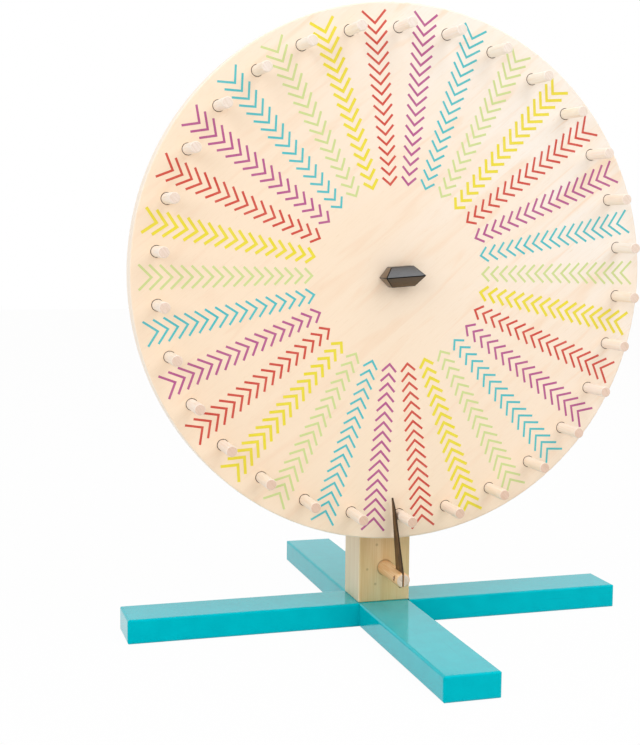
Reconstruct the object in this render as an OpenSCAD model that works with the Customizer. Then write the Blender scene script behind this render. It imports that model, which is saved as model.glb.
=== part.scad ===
// Prize wheel on a half-lapped cross foot: a round wooden disc with pegs round its edge
// spins on a bolt through an upright post, and a thin flapper ticks against the pegs.
// Millimetres. +Z is up and the wheel faces -Y. The origin is on the floor, under the
// middle of the cross foot. The wheel turns about an axis along Y.

/* [Wheel] */
// Diameter of the wheel disc
wheel_d = 400; // [360:5:440]
// Thickness of the wheel disc
disc_t = 16; // [14:0.5:20]
// Rounding of the disc's two rim edges
rim_round = 1.5; // [0.5:0.25:3]
// Height of the rim above the floor
rim_lift = 73.6; // [68:0.5:90]

/* [Pegs] */
// Number of pegs round the wheel
peg_count = 30; // [24:1:36]
// Diameter of a peg
peg_d = 8; // [6:0.5:9]
// Length of a peg in front of the disc
peg_out = 31; // [26:1:36]
// Depth of a peg's blind hole
peg_in = 11; // [8:0.5:12]
// Distance from the rim to the circle of peg centres
peg_inset = 18.4; // [14:0.2:24]
// Gap all round between a peg and its hole
peg_gap = 0.5; // [0.1:0.05:0.6]
// Rounding of a peg's free end
peg_round = 0.8; // [0.3:0.1:1.5]
// Angle from straight down to the peg just right of the flapper
lead_peg = 0.94; // [0:0.1:3]

/* [Cross foot] */
// Length of the bar that runs front to back
bar_y_len = 411; // [360:1:440]
// Length of the bar that runs left to right
bar_x_len = 398; // [360:1:400]
// Width of both bars
bar_w = 41.5; // [38:0.5:50]
// Thickness of both bars
bar_t = 18.5; // [15:0.5:22]
// Rounding of the bars' edges
bar_round = 1.8; // [0.5:0.1:4]
// Gap between the two halves of the lap joint
lap_gap = 0.1; // [0.05:0.05:0.3]

/* [Post] */
// Depth of the post, front to back
post_d = 37; // [34:1:46]
// Height of the post's top above the axle
post_above = 30; // [24:1:60]
// Rounding of the post's edges
post_round = 1; // [0.4:0.1:2.5]

/* [Axle] */
// Diameter of the axle bolt
bolt_d = 6; // [5:0.5:6]
// Width across the flats of the bolt head and the nut
hex_af = 10; // [9.5:0.5:12]
// Height of the bolt head
head_h = 4; // [3:0.5:5]
// Height of the clamp nut
nut_h = 5; // [3:0.5:6]
// Outer diameter of the wide washer behind the post
back_washer_d = 18; // [14:1:24]
// Outer diameter of the two small washers
washer_d = 12; // [11:0.5:14]
// Thickness of every washer
washer_t = 1.6; // [1:0.2:1.8]
// Bolt thread that reaches into the knob
knob_grip = 7; // [5:0.5:8]
// Gap round the bolt in the post, the nut and the washers
bolt_gap = 0.05; // [0.02:0.01:0.2]
// Outer diameter of the steel sleeve that the wheel turns on
sleeve_d = 8; // [7.5:0.5:9]
// Running gap between the sleeve and the bush
run_gap = 0.05; // [0.02:0.01:0.1]
// Outer diameter of the bush in the disc
bush_d = 12; // [11.5:0.5:14]
// Diameter of the bush's rear flange
flange_d = 18; // [16:1:26]
// Thickness of the bush's rear flange
flange_t = 1.2; // [0.8:0.2:2]
// End play of the wheel at each end of the sleeve
end_play = 0.3; // [0.2:0.1:0.6]
// Depth of the recess round the front washer
recess_h = 2; // [1.8:0.1:4]
// Gap all round the front washer in its recess
recess_gap = 0.5; // [0.3:0.1:1]

/* [Knob] */
// Length of the knob from tip to tip
knob_len = 31.4; // [26:0.2:36]
// Length of the knob's straight upper and lower edges
knob_flat = 17.8; // [16:0.2:24]
// Height of the knob
knob_h = 15.2; // [14.6:0.2:20]
// Depth of the knob from its base to its ridge
knob_depth = 17.3; // [15:0.1:22]
// Depth of the knob from its base to the foot of its slopes
knob_wall = 9.8; // [8:0.1:12]
// Drop of the knob's middle below the axle
knob_drop = 1; // [0:0.1:1.2]
// Turn of the knob at rest, anticlockwise as seen from the front
knob_turn = 4.4; // [0:0.2:20]
// Gap between the knob and the disc
knob_gap = 0.3; // [0.2:0.1:0.6]
// Outer diameter of the threaded insert
insert_d = 9; // [8:0.5:10]
// Length of the threaded insert
insert_len = 9; // [8.5:0.5:10]

/* [Flapper] */
// Diameter of the flapper's dowel
dowel_d = 11.4; // [10.5:0.1:13]
// Length of the dowel in front of the post
dowel_out = 43.5; // [42:0.5:50]
// Length of the dowel inside the post
dowel_in = 18; // [12:1:24]
// Sideways place of the dowel
dowel_x = 0.5; // [-1:0.1:1]
// Drop from the rim to the dowel's centre
dowel_drop = 28.4; // [26:0.2:34]
// Rounding of the dowel's free end
dowel_round = 1.8; // [0.5:0.1:2.5]
// Thickness of the blade
blade_t = 1.3; // [0.8:0.1:1.5]
// Width of the blade where it leaves the dowel
blade_w = 15.5; // [12:0.1:16]
// Width of the blade at its shoulder
blade_mid_w = 5.6; // [4:0.1:8]
// Width of the blade at its tip
blade_tip_w = 1.1; // [0.8:0.1:3]
// Length of the blade's narrow end, from shoulder to tip
blade_nose = 8.5; // [5:0.5:12]
// Reach of the blade past the lowest peg's centre
blade_reach = 13.8; // [10:0.2:16]
// Gap between the front of the disc and the blade
blade_clear = 3.4; // [2:0.2:5]
// Gap between the blade and the peg on its right
blade_peg_gap = 1; // [0.3:0.1:1.5]
// Height that the blade's foot stands out above the dowel
foot_rise = 0.1; // [0.1:0.05:0.5]
// Depth that the blade's foot stands out below the dowel
foot_out = 1.4; // [0.3:0.1:2]
// Distance from the blade's front edge back to the foot's lower corner
foot_set_back = 6; // [0:0.1:8]
// Diameter of the pin that holds the blade's foot
pin_d = 2.8; // [2:0.1:3]
// Distance from the dowel's free end to the pin
pin_back = 5.2; // [4.4:0.1:8]
// Height of the pin above the dowel's centre
pin_rise = 1; // [0:0.1:2]

/* [Screws] */
// Diameter of a base screw's shank
screw_d = 4; // [3:0.5:5]
// Length of a base screw
screw_len = 45; // [36:1:50]
// Diameter of a base screw's head
screw_head_d = 8; // [7:0.5:9]
// Distance of a base screw from the middle of the foot
screw_out = 10; // [9.5:0.5:12]
// Depth of a base screw's head below the foot's underside
screw_sink = 0.6; // [0.2:0.1:2]
// Length of the cross slots in a screw's head
drive_len = 4.8; // [3:0.2:6]
// Width of the cross slots
drive_w = 0.9; // [0.6:0.1:1.5]
// Depth of the cross slots
drive_h = 1.4; // [0.8:0.1:2]

/* [Hidden] */
$fn = 96;
// Gap of a glued or driven joint, on each side
glue_gap = 0.05;
// Amount by which a cutting shape runs past the face it opens
past = 1;

wheel_r = wheel_d / 2;
axle_z = rim_lift + wheel_r;
peg_circle_r = wheel_r - peg_inset;
peg_pitch = 360 / peg_count;
peg_hole_d = peg_d + 2 * peg_gap;
lead_index = round(peg_count / 2);

// The post is as wide as the bar that it stands on
post_w = bar_w;
post_front = -post_d / 2;
post_back = post_d / 2;
post_top = axle_z + post_above;

// The stack along the axle, from the post's front face to the knob's ridge
clamp_washer_y = post_front - washer_t;
nut_y = clamp_washer_y - nut_h;
flange_y = nut_y - end_play;
disc_back = flange_y - flange_t;
disc_front = disc_back - disc_t;
knob_base = disc_front - knob_gap;
front_washer_y = knob_base + washer_t;
bush_end = front_washer_y + end_play;
bolt_head_y = post_back + washer_t;
bolt_tip = knob_base - knob_grip;
wall_end = knob_base - knob_wall;
ridge_y = knob_base - knob_depth;

// Radii that fit over or into one another
bolt_r = bolt_d / 2;
bolt_hole_r = bolt_r + bolt_gap;
sleeve_r = sleeve_d / 2;
bush_bore_r = sleeve_r + run_gap;
bush_r = bush_d / 2;
recess_r = washer_d / 2 + recess_gap;
insert_r = insert_d / 2;

// The flapper: its dowel, slot, hinge line and the lean that its peg gives it
dowel_r = dowel_d / 2;
dowel_z = rim_lift - dowel_drop;
dowel_end = post_front - dowel_out;
blade_back = disc_front - blade_clear;
blade_front = blade_back - blade_w;
slot_w = blade_t + 2 * glue_gap;
foot_top = dowel_z + dowel_r + foot_rise;
hinge_z = foot_top + glue_gap + blade_t / 2;
foot_bottom = dowel_z - dowel_r - foot_out;
lead_x = peg_circle_r * sin(lead_peg);
lead_z = axle_z - peg_circle_r * cos(lead_peg);
blade_len = axle_z - peg_circle_r + blade_reach - hinge_z;
lead_dist = norm([lead_x - dowel_x, lead_z - hinge_z]);
blade_side = peg_d / 2 + blade_t / 2 + blade_peg_gap;
blade_lean = asin(blade_side / lead_dist) - atan2(lead_x - dowel_x, lead_z - hinge_z);
pin_y = dowel_end + pin_back;
pin_len = 2 * sqrt(pow(dowel_r, 2) - pow(pin_rise + pin_d / 2, 2));

function two_digits(n) = n < 10 ? str("0", n) : str(n);
function peg_name(k) = str("peg_", two_digits(k + 1));
function peg_angle(k) = 180 - lead_peg + (k - lead_index) * peg_pitch;

paint = "#00b9c6";
pine = "#c8b080";
birch = "#fce6cf";
beech = "#e3c396";
steel = "#b9bcc0";
bronze = "#b08a4a";
brass = "#c9a64f";
black = "#1b1b1c";
horn = "#4a3524";

// A flat outline with round corners, made of plain squares and circles
module round_outline(w, h, r) {
    square([w - 2 * r, h], center = true);
    square([w, h - 2 * r], center = true);
    for (sx = [-1, 1], sy = [-1, 1])
        translate([sx * (w / 2 - r), sy * (h / 2 - r)])
            circle(r);
}

// A box with every edge rounded, centred on the origin
module round_bar(x, y, z, r) {
    intersection() {
        linear_extrude(z, center = true)
            round_outline(x, y, r);
        rotate([90, 0, 0])
            linear_extrude(y, center = true)
                round_outline(x, z, r);
        rotate([90, 0, 90])
            linear_extrude(x, center = true)
                round_outline(y, z, r);
    }
}

// A rod along Y from one place to another, on the line at x and z
module rod_y(y_a, y_b, r, x = 0, z = 0) {
    translate([x, max(y_a, y_b), z])
        rotate([90, 0, 0])
            cylinder(h = abs(y_a - y_b), r = r);
}

// A rod along Y with a rounded front end, on the line at x and z
module round_rod(back, front, d, r, x = 0, z = 0) {
    len = back - front;
    translate([x, back, z])
        rotate([90, 0, 0])
            rotate_extrude() {
                square([d / 2, len - r]);
                square([d / 2 - r, len]);
                translate([d / 2 - r, len - r])
                    intersection() {
                        circle(r);
                        square(r);
                    }
            }
}

// A ring along Y on the axle's line
module ring_y(y_a, y_b, r_out, r_in) {
    difference() {
        rod_y(y_a, y_b, r_out, z = axle_z);
        rod_y(min(y_a, y_b) - past, max(y_a, y_b) + past, r_in, z = axle_z);
    }
}

// A hexagonal block along Y on the axle's line
module hex_y(y_a, y_b) {
    translate([0, max(y_a, y_b), axle_z])
        rotate([90, 0, 0])
            cylinder(h = abs(y_a - y_b), d = hex_af / cos(30), $fn = 6);
}

// The places of the two base screws
module at_screws() {
    for (side = [-1, 1])
        translate([side * screw_out, 0, 0])
            children();
}

// A countersunk wood screw that points up, with its head's face at the origin
module wood_screw(gap = 0) {
    head_r = screw_head_d / 2 + gap;
    shank_r = screw_d / 2 + gap;
    cone_h = (screw_head_d - screw_d) / 2;
    point_h = screw_d;
    tip_r = shank_r / 4;
    translate([0, 0, -gap])
        cylinder(h = cone_h + gap, r1 = head_r, r2 = shank_r);
    translate([0, 0, cone_h])
        cylinder(h = screw_len - point_h - cone_h, r = shank_r);
    translate([0, 0, screw_len - point_h])
        cylinder(h = point_h, r1 = shank_r, r2 = tip_r);
}

// The room that a base screw takes up in the bars and the post
module screw_holes() {
    at_screws() {
        translate([0, 0, screw_sink])
            wood_screw(glue_gap);
        translate([0, 0, -past])
            cylinder(h = screw_sink + past, d = screw_head_d + 2 * glue_gap);
    }
}

module foot_bar_front_back() {
    color(paint)
        difference() {
            translate([0, 0, bar_t / 2])
                round_bar(bar_w, bar_y_len, bar_t, bar_round);
            translate([0, 0, (bar_t / 2 - past) / 2])
                cube([bar_w + 2 * past, bar_w + 2 * lap_gap, bar_t / 2 + past], center = true);
            screw_holes();
        }
}

module foot_bar_left_right() {
    notch = bar_t / 2 + past;
    color(paint)
        difference() {
            translate([0, 0, bar_t / 2])
                round_bar(bar_x_len, bar_w, bar_t, bar_round);
            translate([0, 0, bar_t / 2 - lap_gap + notch / 2])
                cube([bar_w + 2 * lap_gap, bar_w + 2 * past, notch], center = true);
            screw_holes();
        }
}

module post() {
    post_len = post_top - bar_t;
    color(pine)
        difference() {
            translate([0, 0, bar_t + post_len / 2])
                round_bar(post_w, post_d, post_len, post_round);
            rod_y(post_back + past, post_front - past, bolt_hole_r, z = axle_z);
            rod_y(post_front + dowel_in, post_front - past, dowel_r + glue_gap, dowel_x, dowel_z);
            screw_holes();
        }
}

module base_screws() {
    color(steel)
        at_screws()
            translate([0, 0, screw_sink])
                difference() {
                    wood_screw();
                    for (turn = [45, 135])
                        rotate([0, 0, turn])
                            cube([drive_len, drive_w, 2 * drive_h], center = true);
                }
}

module axle_bolt() {
    color(steel) {
        hex_y(bolt_head_y, bolt_head_y + head_h);
        rod_y(bolt_head_y, bolt_tip, bolt_r, z = axle_z);
    }
}

module back_washer() {
    color(steel)
        ring_y(post_back, bolt_head_y, back_washer_d / 2, bolt_hole_r);
}

module clamp_washer() {
    color(steel)
        ring_y(post_front, clamp_washer_y, washer_d / 2, bolt_hole_r);
}

module clamp_nut() {
    color(steel)
        difference() {
            hex_y(clamp_washer_y, nut_y);
            rod_y(clamp_washer_y + past, nut_y - past, bolt_hole_r, z = axle_z);
        }
}

module axle_sleeve() {
    color(steel)
        ring_y(nut_y, front_washer_y, sleeve_r, bolt_hole_r);
}

module front_washer() {
    color(steel)
        ring_y(front_washer_y, knob_base, washer_d / 2, bolt_hole_r);
}

// Half of the disc's section, from its axis out to its rounded rim
module disc_section() {
    square([wheel_r - rim_round, disc_t]);
    translate([0, rim_round])
        square([wheel_r, disc_t - 2 * rim_round]);
    for (h = [rim_round, disc_t - rim_round])
        translate([wheel_r - rim_round, h])
            circle(rim_round);
}

module wheel_disc() {
    color(birch)
        difference() {
            translate([0, disc_back, axle_z])
                rotate([90, 0, 0])
                    rotate_extrude($fn = 180)
                        disc_section();
            rod_y(disc_back + past, disc_front - past, bush_r + glue_gap, z = axle_z);
            rod_y(disc_front + recess_h, disc_front - past, recess_r, z = axle_z);
            for (k = [0 : peg_count - 1])
                at_peg(k)
                    rod_y(disc_front + peg_in, disc_front - past, peg_hole_d / 2);
        }
}

module hub_bush() {
    color(bronze) {
        difference() {
            union() {
                rod_y(flange_y, disc_back, flange_d / 2, z = axle_z);
                rod_y(flange_y, bush_end, bush_r, z = axle_z);
            }
            rod_y(flange_y + past, bush_end - past, bush_bore_r, z = axle_z);
        }
    }
}

// Moves a shape from the floor's origin to the centre line of one peg
module at_peg(k) {
    a = peg_angle(k);
    translate([peg_circle_r * sin(a), 0, axle_z + peg_circle_r * cos(a)])
        children();
}

module peg(k) {
    color(birch)
        at_peg(k)
            round_rod(disc_front + peg_in, disc_front - peg_out, peg_d, peg_round);
}

// The knob's outline as seen from the front: a long hexagon with pointed ends
module knob_outline() {
    tip = knob_len / 2;
    flat = knob_flat / 2;
    top = knob_h / 2;
    polygon([[tip, 0], [flat, top], [-flat, top], [-tip, 0], [-flat, -top], [flat, -top]]);
}

// The knob's section from the side: a straight wall with a ridged front
module knob_profile() {
    top = knob_h / 2;
    polygon([
        [knob_base, -top], [knob_base, top], [wall_end, top],
        [ridge_y, 0], [wall_end, -top]
    ]);
}

module knob() {
    color(black)
        difference() {
            translate([0, 0, axle_z - knob_drop])
                rotate([0, -knob_turn, 0])
                    intersection() {
                        translate([0, knob_base + past, 0])
                            rotate([90, 0, 0])
                                linear_extrude(knob_depth + 2 * past)
                                    knob_outline();
                        rotate([90, 0, 90])
                            linear_extrude(knob_len + 2 * past, center = true)
                                knob_profile();
                    }
            rod_y(knob_base + past, knob_base - insert_len, insert_r, z = axle_z);
        }
}

module knob_insert() {
    color(brass)
        ring_y(knob_base, knob_base - insert_len, insert_r - glue_gap, bolt_r + run_gap);
}

// The slot that is sawn into the dowel's free end for the blade
module blade_slot() {
    translate([dowel_x - slot_w / 2, dowel_end - past, dowel_z - dowel_r - past])
        cube([slot_w, blade_back + glue_gap - dowel_end + past, dowel_d + 2 * past]);
}

// The hole for the pin, across the dowel and the blade's foot
module pin_rod(r, len) {
    translate([dowel_x, pin_y, dowel_z + pin_rise])
        rotate([0, 90, 0])
            cylinder(h = len, r = r, center = true, $fn = 32);
}

module flapper_dowel() {
    color(beech)
        difference() {
            round_rod(post_front + dowel_in, dowel_end, dowel_d, dowel_round, dowel_x, dowel_z);
            blade_slot();
            pin_rod(pin_d / 2 + glue_gap, dowel_d + 2 * past);
        }
}

module flapper_pin() {
    color(horn)
        pin_rod(pin_d / 2, pin_len);
}

// The part of the strip that is held in the dowel, with a slanting lower end
module flapper_foot() {
    color(horn)
        difference() {
            translate([dowel_x - blade_t / 2, 0, 0])
                rotate([90, 0, 90])
                    linear_extrude(blade_t)
                        polygon([
                            [blade_back, dowel_z - dowel_r], [blade_back, foot_top],
                            [blade_front, foot_top],
                            [blade_front + foot_set_back, foot_bottom]
                        ]);
            pin_rod(pin_d / 2 + glue_gap, dowel_d);
        }
}

// The free part of the strip, upright: its round lower end lies on the hinge line
module upright_blade() {
    shoulder = blade_len - blade_nose;
    rotate([90, 0, 90])
        linear_extrude(blade_t, center = true)
            polygon([
                [blade_back, 0], [blade_back, blade_len],
                [blade_back - blade_tip_w, blade_len],
                [blade_back - blade_mid_w, shoulder], [blade_front, 0]
            ]);
    rod_y(blade_back, blade_front, blade_t / 2);
}

module flapper_blade() {
    color(horn)
        translate([dowel_x, 0, hinge_z])
            rotate([0, -blade_lean, 0])
                upright_blade();
}

foot_bar_front_back();
foot_bar_left_right();
post();
base_screws();
axle_bolt();
back_washer();
clamp_washer();
clamp_nut();
axle_sleeve();
wheel_disc();
hub_bush();
front_washer();
knob();
knob_insert();
flapper_dowel();
flapper_pin();
flapper_foot();
flapper_blade();
for (k = [0 : peg_count - 1])
    peg(k);
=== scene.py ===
# Looks of a tabletop prize wheel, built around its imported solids
import math

import bmesh
import bpy
from mathutils import Euler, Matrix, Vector


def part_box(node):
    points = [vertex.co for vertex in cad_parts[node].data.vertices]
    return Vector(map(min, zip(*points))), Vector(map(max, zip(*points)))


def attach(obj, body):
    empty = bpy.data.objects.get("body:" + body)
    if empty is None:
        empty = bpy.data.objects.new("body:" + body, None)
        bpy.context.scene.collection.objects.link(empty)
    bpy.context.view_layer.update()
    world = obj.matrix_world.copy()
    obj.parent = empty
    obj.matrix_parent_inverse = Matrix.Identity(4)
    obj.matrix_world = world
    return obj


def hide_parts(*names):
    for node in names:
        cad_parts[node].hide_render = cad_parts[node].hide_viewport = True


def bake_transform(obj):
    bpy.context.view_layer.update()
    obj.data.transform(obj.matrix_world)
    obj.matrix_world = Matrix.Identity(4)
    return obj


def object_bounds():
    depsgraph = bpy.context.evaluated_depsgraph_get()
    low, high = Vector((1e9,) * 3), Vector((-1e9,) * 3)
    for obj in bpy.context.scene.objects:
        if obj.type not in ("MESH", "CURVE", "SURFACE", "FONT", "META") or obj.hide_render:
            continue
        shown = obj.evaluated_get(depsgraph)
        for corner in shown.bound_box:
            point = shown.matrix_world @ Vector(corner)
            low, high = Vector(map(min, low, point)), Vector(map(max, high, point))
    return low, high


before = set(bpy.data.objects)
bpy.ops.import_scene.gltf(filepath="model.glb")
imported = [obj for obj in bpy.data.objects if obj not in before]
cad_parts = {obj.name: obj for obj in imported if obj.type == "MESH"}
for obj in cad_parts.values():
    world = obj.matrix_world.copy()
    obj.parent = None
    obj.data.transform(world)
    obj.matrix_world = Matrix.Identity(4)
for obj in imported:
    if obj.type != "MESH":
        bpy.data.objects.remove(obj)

bl_info = {
    "name": "Prize wheel",
    "version": (1, 0, 0),
    "blender": (4, 5, 0),
    "location": "3D View > Sidebar > Prize wheel",
    "description": "Builds the looks of a pegged prize wheel on a cross foot",
    "category": "Object",
}

CAD_LOW, CAD_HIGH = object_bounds()
MM = 0.001
COLUMN_INKS = ("red", "purple", "cyan", "light_green", "yellow")
# Pin knots on the post's front: sideways place, height above its foot, share of full size
PIN_KNOTS = (
    (-6.4 * MM, 45 * MM, 0.8), (-14.0 * MM, 26 * MM, 0.7), (-7.3 * MM, 14 * MM, 0.75),
    (12.0 * MM, 131 * MM, 1.0),
)
PEG_NAMES = sorted(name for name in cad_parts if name.startswith("peg_"))
# Points in one ring of a turned piece, and in one of the bolt
ROUND_STEPS = 96
BOLT_STEPS = 48
# Gap in metres that keeps two rings of one mesh apart
HAIR = 0.00001
# Chamfer of a hexagon head or nut, as a share of its width across the flats
HEX_CHAMFER = 0.075
# Depth of a metric thread as a share of its pitch, and rings of points in one turn of it
THREAD_DEPTH = 0.54
RINGS_PER_TURN = 6
# Sockets of a node that mixes two colours
SHARE, FIRST, SECOND = 0, 6, 7


def middle(node):
    """The middle of a CAD node's box."""
    low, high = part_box(node)
    return (low + high) / 2


BOARD_LOW, BOARD_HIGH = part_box("wheel_disc")
HUB = middle("wheel_disc")
FRONT = BOARD_LOW.y


def linear(hex_colour):
    """An sRGB hex colour as linear red, green, blue and alpha."""
    digits = hex_colour.lstrip("#")
    parts = [int(digits[i:i + 2], 16) / 255 for i in (0, 2, 4)]
    return [c / 12.92 if c <= 0.04045 else ((c + 0.055) / 1.055) ** 2.4 for c in parts] + [1.0]


def add_node(tree, kind, inputs=None, stops=(), **settings):
    """Adds one node. inputs maps a socket to a value, a hex colour, another node's output, or a
    node, which stands for its first output in use. stops are a colour ramp's places and hex
    colours."""
    node = tree.nodes.new(kind)
    for key, value in settings.items():
        setattr(node, key, value)
    for key, value in (inputs or {}).items():
        if isinstance(value, bpy.types.Node):
            value = next(socket for socket in value.outputs if socket.enabled)
        if isinstance(value, bpy.types.NodeSocket):
            tree.links.new(value, node.inputs[key])
        elif isinstance(value, str) and value.startswith("#"):
            node.inputs[key].default_value = linear(value)
        else:
            node.inputs[key].default_value = value
    for order, (place, hex_colour) in enumerate(stops):
        elements = node.color_ramp.elements
        element = elements[order] if order < 2 else elements.new(1.0)
        element.position = place
        element.color = linear(hex_colour)
    return node


def new_material(name):
    """An empty material and its tree."""
    material = bpy.data.materials.new(name)
    material.use_nodes = True
    material.node_tree.nodes.clear()
    return material, material.node_tree


def finish_material(tree, colour, roughness, relief, depth, **shader):
    """Ends a material in one shader. depth is the height of its relief in metres."""
    bump = add_node(tree, "ShaderNodeBump", {"Strength": 1.0, "Distance": depth, "Height": relief})
    inputs = {"Base Color": colour, "Roughness": roughness, "Normal": bump}
    inputs.update({key.replace("_", " "): value for key, value in shader.items()})
    surface = add_node(tree, "ShaderNodeBsdfPrincipled", inputs)
    add_node(tree, "ShaderNodeOutputMaterial", {"Surface": surface})


def stretched_noise(tree, size, turn=(0, 0, 0), shift=(0, 0, 0), detail=2.0, distortion=0.0):
    """Noise whose features have the given size in millimetres along each turned axis. shift
    moves them and is in metres."""
    place = add_node(tree, "ShaderNodeTexCoord")
    mapped = add_node(
        tree, "ShaderNodeMapping",
        {
            "Vector": place.outputs["Object"], "Location": shift, "Rotation": turn,
            "Scale": [length * MM for length in size],
        },
        vector_type="TEXTURE",
    )
    return add_node(tree, "ShaderNodeTexNoise", {
        "Vector": mapped, "Scale": 1.0, "Detail": detail, "Distortion": distortion,
    })


def overlaid(tree, colour, pattern, low, high, tint, strength=1.0, mode="MIX"):
    """A tint laid over a colour, from none where the pattern is at low to strength at high."""
    share = add_node(tree, "ShaderNodeMapRange", {
        "Value": pattern, "From Min": low, "From Max": high, "To Max": strength,
    })
    return add_node(
        tree, "ShaderNodeMix", {SHARE: share, FIRST: colour, SECOND: tint},
        data_type="RGBA", blend_type=mode,
    )


def facing(tree, axis, low, high):
    """1 where the surface faces along the axis, either way, and 0 where it doesn't."""
    place = add_node(tree, "ShaderNodeTexCoord")
    parts = add_node(tree, "ShaderNodeSeparateXYZ", {0: place.outputs["Normal"]})
    size = add_node(tree, "ShaderNodeMath", {0: parts.outputs[axis]}, operation="ABSOLUTE")
    return add_node(tree, "ShaderNodeMapRange", {
        "Value": size, "From Min": low, "From Max": high,
    })


def birch_surface(tree, settings):
    """Colour and relief of the birch face: slow bands, a soft figure, fine fibres and flecks.

    The bands are about 30 mm wide and the figure's streaks about 10 mm. Real birch fibres and
    flecks are 0.1 to 0.3 mm wide. That is too fine to show in the render, so they are drawn 0.5
    to 0.6 mm wide."""
    turn = (0.0, -settings.grain_angle, 0.0)
    bands = stretched_noise(tree, (300, 200, 30), turn, detail=3.0, distortion=0.6)
    figure = stretched_noise(tree, (75, 50, 10), turn, detail=1.5, distortion=1.2)
    fibres = stretched_noise(tree, (18, 20, 0.6), turn)
    flecks = stretched_noise(tree, (7, 10, 0.5), turn, detail=1.0)
    # the sheet pales along its grain, towards the upper right
    along_grain = Vector((math.cos(settings.grain_angle), 0.0, math.sin(settings.grain_angle)))
    place = add_node(tree, "ShaderNodeTexCoord")
    along = add_node(
        tree, "ShaderNodeVectorMath", {0: place.outputs["Object"], 1: along_grain},
        operation="DOT_PRODUCT",
    )
    hub_along = HUB.dot(along_grain)
    up_grain = add_node(tree, "ShaderNodeMapRange", {
        "Value": along, "From Min": hub_along - settings.warm_from,
        "From Max": hub_along + settings.pale_from,
    })
    paler = add_node(tree, "ShaderNodeMath", {0: up_grain, 1: up_grain}, operation="MULTIPLY")
    colour = add_node(
        tree, "ShaderNodeMix",
        {SHARE: paler, FIRST: settings.birch_warm_hex, SECOND: settings.birch_pale_hex},
        data_type="RGBA",
    )
    colour = overlaid(tree, colour, bands, 0.42, 0.68, settings.birch_warm_hex, 0.6)
    colour = overlaid(tree, colour, figure, 0.54, 0.72, settings.birch_figure_hex, 0.6)
    colour = overlaid(tree, colour, fibres, 0.5, 0.8, settings.birch_deep_hex, 0.22)
    colour = overlaid(tree, colour, flecks, 0.70, 0.78, settings.birch_deep_hex, 0.5)
    return colour, fibres


def board_material(settings):
    """Birch plywood, sanded and thinly lacquered: pale and satin, with its plies at the rim."""
    material, tree = new_material("birch plywood under thin lacquer")
    colour, fibres = birch_surface(tree, settings)
    # the rim shows the plies as alternate long and end grain, whose pores of about 0.1 mm are
    # too fine to show and are drawn as a speckle of 0.6 to 0.8 mm
    place = add_node(tree, "ShaderNodeTexCoord")
    axes = add_node(tree, "ShaderNodeSeparateXYZ", {0: place.outputs["Object"]})
    layer = add_node(
        tree, "ShaderNodeMath", {0: axes.outputs["Y"], 1: math.pi / settings.ply_thickness},
        operation="MULTIPLY",
    )
    wave = add_node(tree, "ShaderNodeMath", {0: layer}, operation="SINE")
    end_ply = add_node(tree, "ShaderNodeMapRange", {
        "Value": wave, "From Min": -0.25, "From Max": 0.25,
    })
    speckle = stretched_noise(tree, (0.8, 0.6, 0.8))
    end_share = add_node(tree, "ShaderNodeMath", {0: end_ply, 1: speckle}, operation="MULTIPLY")
    rim = add_node(
        tree, "ShaderNodeMix",
        {SHARE: end_share, FIRST: settings.ply_long_hex, SECOND: settings.ply_end_hex},
        data_type="RGBA",
    )
    colour = add_node(
        tree, "ShaderNodeMix", {SHARE: facing(tree, "Y", 0.6, 0.9), FIRST: rim, SECOND: colour},
        data_type="RGBA",
    )
    # painted shade: the walls of the holes, which lie inside the rim, are dark brown, for the
    # shade in the gap round each peg
    from_hub = add_node(
        tree, "ShaderNodeVectorMath", {0: place.outputs["Object"], 1: (HUB.x, 0.0, HUB.z)},
        operation="SUBTRACT",
    )
    flat = add_node(
        tree, "ShaderNodeVectorMath", {0: from_hub, 1: (1.0, 0.0, 1.0)}, operation="MULTIPLY"
    )
    reach = add_node(tree, "ShaderNodeVectorMath", {0: flat}, operation="LENGTH")
    radius = (BOARD_HIGH.x - BOARD_LOW.x) / 2
    inside = add_node(tree, "ShaderNodeMapRange", {
        "Value": reach, "From Min": radius - 4 * MM, "From Max": radius - 5 * MM,
    })
    wall = add_node(
        tree, "ShaderNodeMath", {0: 1.0, 1: facing(tree, "Y", 0.3, 0.6)}, operation="SUBTRACT"
    )
    hole_wall_shade = add_node(tree, "ShaderNodeMath", {0: wall, 1: inside}, operation="MULTIPLY")
    colour = add_node(
        tree, "ShaderNodeMix", {SHARE: hole_wall_shade, FIRST: colour, SECOND: settings.hole_wall_shade_hex},
        data_type="RGBA",
    )
    finish_material(
        tree, colour, 0.48, fibres, 0.04 * MM,
        Specular_IOR_Level=0.4, Coat_Weight=0.12, Coat_Roughness=0.35,
    )
    return material


def ink_material(name, ink_hex, settings):
    """Screen-printed ink on birch: flat, matt and thin, so a little of the grain shows.

    It lies a little thinner here and there, in patches of about 12 mm."""
    material, tree = new_material(f"{name} screen ink")
    grain, fibres = birch_surface(tree, settings)
    patches = stretched_noise(tree, (12, 10, 12), detail=3.0)
    cover = add_node(tree, "ShaderNodeMapRange", {
        "Value": patches, "From Min": 0.3, "From Max": 0.7, "To Min": 0.93, "To Max": 1.0,
    })
    colour = add_node(
        tree, "ShaderNodeMix", {SHARE: cover, FIRST: grain, SECOND: ink_hex}, data_type="RGBA"
    )
    finish_material(tree, colour, 0.6, fibres, 0.02 * MM, Specular_IOR_Level=0.3)
    return material


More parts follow.
